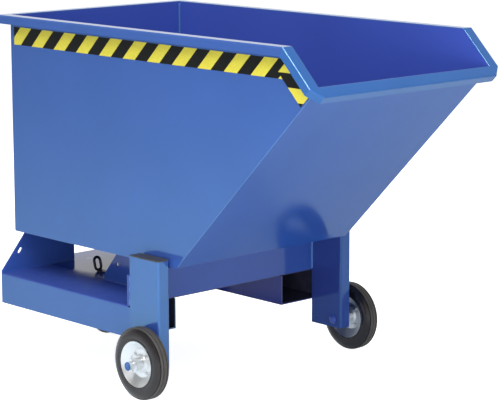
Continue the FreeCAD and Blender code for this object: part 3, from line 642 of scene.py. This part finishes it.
def make_camera():
    data = bpy.data.cameras.new("photo_camera")
    data.sensor_width = sensor_width
    data.lens = lens
    data.clip_end = 100.0
    camera = placed("photo_camera", data)
    forward = Vector((
        -math.sin(yaw) * math.cos(pitch),
        math.cos(yaw) * math.cos(pitch),
        -math.sin(pitch),
    ))
    level = forward.cross(Vector((0, 0, 1))).normalized()
    upright = level.cross(forward)
    rightward = level * math.cos(roll) + upright * math.sin(roll)
    upward = upright * math.cos(roll) - level * math.sin(roll)
    turn = Matrix((rightward, upward, -forward)).transposed().to_4x4()
    camera.matrix_world = Matrix.Translation(row(*camera_place)) @ turn
    bpy.context.scene.camera = camera


make_camera()


# Studio

room_light = 0.20
room_tone = (0.95, 0.97, 1.0, 1)
floor_size = 30.0
floor_grey = 0.86
floor_glow = 0.88

# What a mirror sees of the floor: the share of its glow, and the cooler tones of its face and glow
floor_mirrored = 0.28
floor_cool = (0.81, 0.86, 0.88)
glow_cool = (0.78, 0.92, 1.0)

# What a mirror sees of the room, as (place, brightness): walls that darken with height, and a bright wall
# behind the trolley
wall_by_height = [(0.10, 0.85), (0.40, 0.30)]
behind_trolley = (-0.73, 0.68, 0.0)
wall_behind = [(0.30, 0.20), (0.60, 1.0)]


def area_light(name, place, target, size, power, mirrored=False, level=(0, 0, 1)):
    """A soft lamp of a size (width, height). Its height runs along level, as far as the target allows."""
    data = bpy.data.lights.new(name, "AREA")
    data.shape = "RECTANGLE"
    data.size, data.size_y = size
    data.energy = power
    light = placed(name, data)
    back = (Vector(place) - Vector(target)).normalized()
    wide = Vector(level).cross(back).normalized()
    turn = Matrix((wide, back.cross(wide), back)).transposed().to_4x4()
    light.matrix_world = Matrix.Translation(place) @ turn
    light.visible_glossy = mirrored


def seen_directly(tree, mirrored=1.0):
    """1 for camera and glass rays, the given share for mirror rays, else 0."""
    path = add(tree, "ShaderNodeLightPath").outputs
    mirror = math_node(tree, "MULTIPLY", path["Is Glossy Ray"], mirrored)
    plain = math_node(tree, "MAXIMUM", path["Is Camera Ray"], path["Is Transmission Ray"])
    return math_node(tree, "MAXIMUM", plain, mirror)


def make_world():
    """A dim room for the diffuse light, white to the camera, with grey to white walls in a mirror."""
    world = bpy.data.worlds.new("studio")
    tree = empty_tree(world)
    output = tree.nodes.new("ShaderNodeOutputWorld")
    room = add(tree, "ShaderNodeBackground", Color=room_tone, Strength=room_light)
    direction = add(tree, "ShaderNodeTexCoord").outputs["Generated"]
    wall = ramp(tree, axes(tree, direction)["Z"], wall_by_height)
    behind = ramp(tree, dot(tree, direction, behind_trolley), wall_behind)
    sight = add(tree, "ShaderNodeLightPath").outputs["Is Camera Ray"]
    brightness = math_node(tree, "MAXIMUM", math_node(tree, "MAXIMUM", wall, behind), sight)
    seen = add(tree, "ShaderNodeBackground", Color=(1, 1, 1, 1), Strength=brightness)
    whole = add(tree, "ShaderNodeMixShader", input_0=seen_directly(tree), input_1=room.outputs[0],
                input_2=seen.outputs[0])
    tree.links.new(whole.outputs[0], output.inputs["Surface"])
    bpy.context.scene.world = world


def make_floor():
    """A pale floor that keeps the trolley's shadow, white to the camera and a little cooler in a mirror."""
    material = bpy.data.materials.new("pale_floor")
    tree = empty_tree(material)
    output = tree.nodes.new("ShaderNodeOutputMaterial")
    mirror = add(tree, "ShaderNodeLightPath").outputs["Is Glossy Ray"]
    face_tone = ramp(tree, mirror, [(0.0, floor_grey), (1.0, floor_cool)])
    glow_tone = ramp(tree, mirror, [(0.0, 1.0), (1.0, glow_cool)])
    share = math_node(tree, "MULTIPLY", seen_directly(tree, floor_mirrored), floor_glow)
    face = add(tree, "ShaderNodeBsdfDiffuse", Color=face_tone)
    glow = add(tree, "ShaderNodeEmission", Color=glow_tone, Strength=share)
    whole = add(tree, "ShaderNodeAddShader", input_0=face.outputs[0], input_1=glow.outputs[0])
    tree.links.new(whole.outputs[0], output.inputs["Surface"])
    mesh = bmesh.new()
    bmesh.ops.create_grid(mesh, x_segments=8, y_segments=8, size=floor_size)
    floor = mesh_object("floor", mesh, material)


make_world()
make_floor()
area_light("key", (1.46, -2.93, 4.37), target=(0.52, 0, 0.95), size=(0.4, 3.0), power=94, mirrored=True,
           level=(0.49, 0.72, 0.49))
area_light("top", (0.9, -1.5, 4.4), target=(0.1, 0, 0.5), size=(5.5, 5.5), power=174)
area_light("fill", (2.0, -3.0, 0.6), target=(0.2, 0, 0.35), size=(1.4, 0.6), power=30)
area_light("front", (4.4, -1.4, 0.8), target=(0.2, 0, 0.4), size=(2.0, 1.2), power=52)
area_light("back", (-2.8, 3.2, 2.0), target=(0, 0, 0.5), size=(2.4, 1.6), power=62)

bpy.context.scene.view_settings.view_transform = "Standard"
